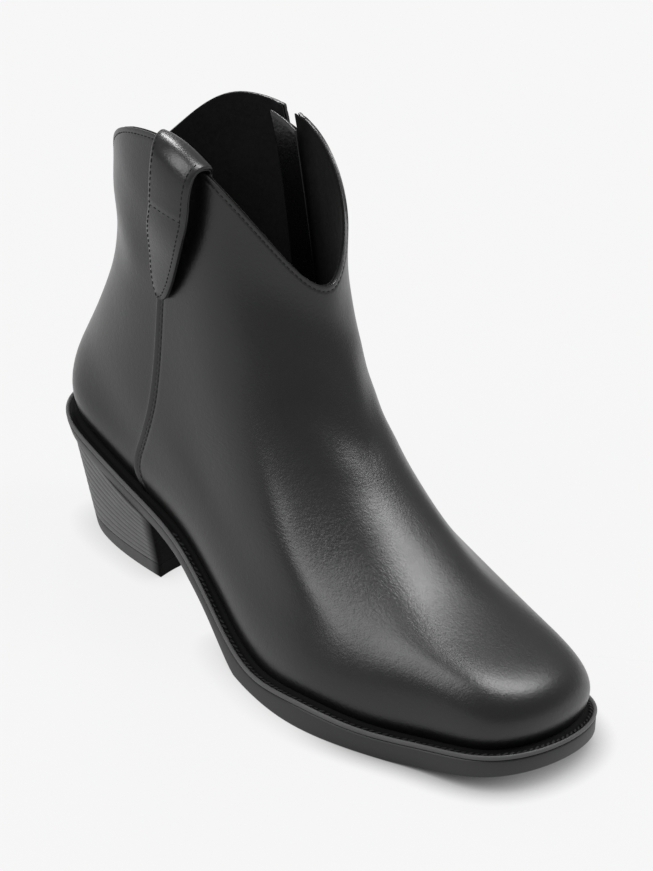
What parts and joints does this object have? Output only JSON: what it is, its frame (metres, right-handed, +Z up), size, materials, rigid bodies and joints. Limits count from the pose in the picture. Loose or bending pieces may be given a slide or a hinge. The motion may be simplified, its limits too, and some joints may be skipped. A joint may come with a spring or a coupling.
{
  "type": "heeled boot",
  "caption": "Black leather ankle boot for the right foot: squared toe, slanted stacked heel, scalloped collar, folded pull loop on the outer side and a zip on the inner side.",
  "frame": {"origin": "on the floor, under the middle of the sole's length and breadth", "axes": "+X towards the toe, +Y towards the inner side of the foot, +Z up"},
  "size_m": [0.27, 0.1044, 0.194],
  "materials": {
    "black_leather": "smooth semi-gloss",
    "black_rubber": "satin",
    "insole_leather": "matte",
    "zip_fabric": "matte",
    "zip_metal": "dark satin"
  },
  "bodies": {
    "boot": {"upper": "black_leather", "pull_loop": "black_leather", "zip_guard": "black_leather", "welt": "black_rubber", "outsole": "black_rubber", "heel_block": "black_rubber", "heel_top_piece": "black_rubber", "insole": "insole_leather", "zip_tape": "zip_fabric", "zip_teeth": "zip_fabric", "zip_slider": "zip_metal"},
    "zip_pull_tab": {"zip_pull": "zip_metal"}
  },
  "joints": [
    {"name": "pull_swing", "type": "hinge", "parent": "boot", "child": "zip_pull_tab", "pos_m": [-0.05992, 0.04006, 0.17101], "axis": [0.9106, -0.0845, 0.4046], "range_deg": [0, 170]}
  ]
}
